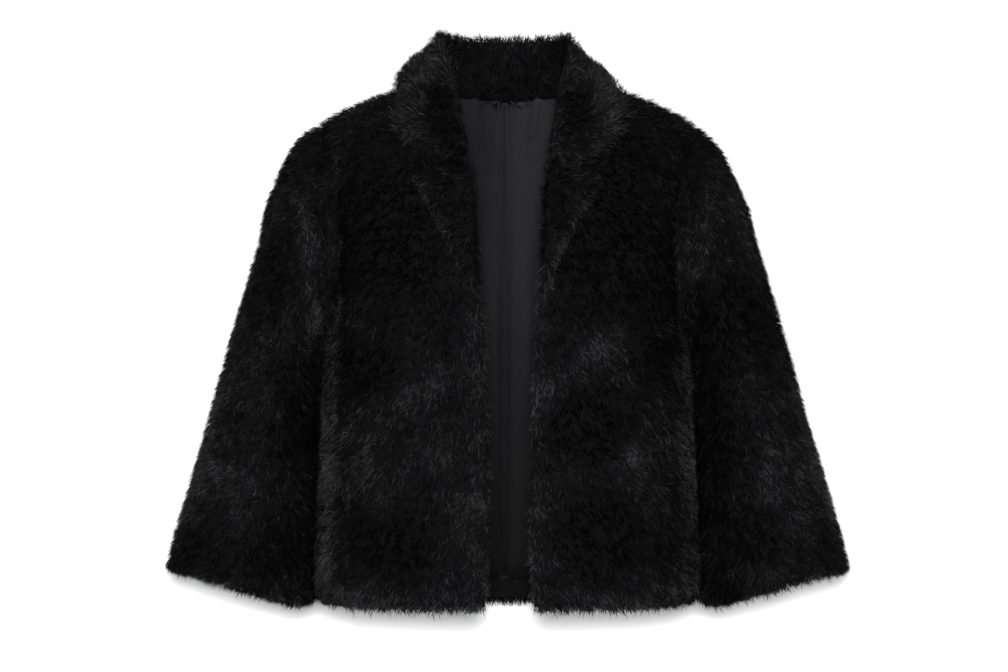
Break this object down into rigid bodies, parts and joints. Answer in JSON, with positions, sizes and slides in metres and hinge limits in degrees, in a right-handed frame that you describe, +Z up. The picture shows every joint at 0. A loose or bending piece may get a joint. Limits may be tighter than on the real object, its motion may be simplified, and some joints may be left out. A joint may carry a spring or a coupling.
{
  "type": "faux fur jacket",
  "caption": "Cropped open-front faux fur jacket with a turned-down collar, small lapels, flared sleeves and a satin back lining, in the hollow shape it has when worn.",
  "frame": {"origin": "middle of the base of the neck, level with the neck ends of the shoulder seams, where the jacket hangs from the wearer's shoulders", "axes": "+Z up, -Y to the jacket's front, +X to the viewer's right as the front is looked at"},
  "size_m": [0.669, 0.2629, 0.5631],
  "materials": {
    "faux_fur": "deep soft pile, faint sheen",
    "satin_lining": "smooth satin"
  },
  "bodies": {
    "root": {"front_left": "faux_fur", "front_right": "faux_fur", "back": "faux_fur", "sleeve_left": "faux_fur", "sleeve_right": "faux_fur", "collar": "faux_fur", "lapel_left": "faux_fur", "lapel_right": "faux_fur", "back_hem_facing": "faux_fur", "back_lining": "satin_lining"}
  },
  "joints": []
}
